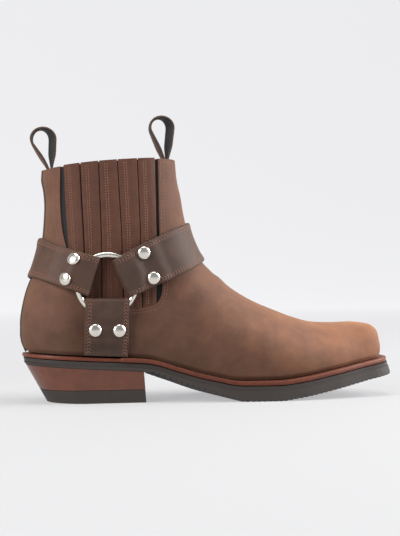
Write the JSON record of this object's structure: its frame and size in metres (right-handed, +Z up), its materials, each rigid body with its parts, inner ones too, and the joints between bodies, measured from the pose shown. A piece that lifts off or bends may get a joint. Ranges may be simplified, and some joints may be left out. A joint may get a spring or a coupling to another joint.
{
  "type": "biker boot",
  "caption": "Square-toed ankle boot for the right foot with elastic side gores, a strap harness held by metal rings, pull loops, a welted ribbed sole and a slanted stacked heel.",
  "frame": {"origin": "middle of the heel's ground face, on the floor", "axes": "+X from heel to toe, +Y to the inner side of the foot, +Z up"},
  "size_m": [0.2992, 0.1105, 0.2207],
  "materials": {
    "upper_leather": "matt oiled brown leather",
    "insole_leather": "dark matt leather board",
    "welt_leather": "satin rust-brown leather edge",
    "heel_leather": "satin burnished leather stack",
    "rubber": "matt near-black rubber",
    "strap_leather": "matt oiled grey-brown leather",
    "black_trim": "matt black leather piping",
    "elastic": "black ribbed elastic web",
    "nickel": "polished nickel plate"
  },
  "bodies": {
    "root": {"outsole": "rubber", "welt": "welt_leather", "heel_stack": "heel_leather", "heel_top_lift": "rubber", "insole": "insole_leather", "upper": "upper_leather", "back_piping": "black_trim", "gore_elastic_lateral": "elastic", "gore_strip_lateral_1": "upper_leather", "gore_strip_lateral_2": "upper_leather", "gore_strip_lateral_3": "upper_leather", "gore_strip_lateral_4": "upper_leather", "gore_strip_lateral_5": "upper_leather", "gore_elastic_medial": "elastic", "gore_strip_medial_1": "upper_leather", "gore_strip_medial_2": "upper_leather", "gore_strip_medial_3": "upper_leather", "gore_strip_medial_4": "upper_leather", "gore_strip_medial_5": "upper_leather", "ring_lateral": "nickel", "ring_medial": "nickel", "rear_strap": "strap_leather", "front_strap": "strap_leather", "drop_strap_lateral": "strap_leather", "drop_strap_medial": "strap_leather", "rivet_rear_lateral_low": "nickel", "rivet_rear_lateral_high": "nickel", "rivet_rear_medial_low": "nickel", "rivet_rear_medial_high": "nickel", "rivet_front_lateral_low": "nickel", "rivet_front_lateral_high": "nickel", "rivet_front_medial_low": "nickel", "rivet_front_medial_high": "nickel", "rivet_drop_lateral_back": "nickel", "rivet_drop_lateral_front": "nickel", "rivet_drop_medial_back": "nickel", "rivet_drop_medial_front": "nickel", "pull_loop_back": "strap_leather", "pull_loop_front": "strap_leather"}
  },
  "joints": []
}
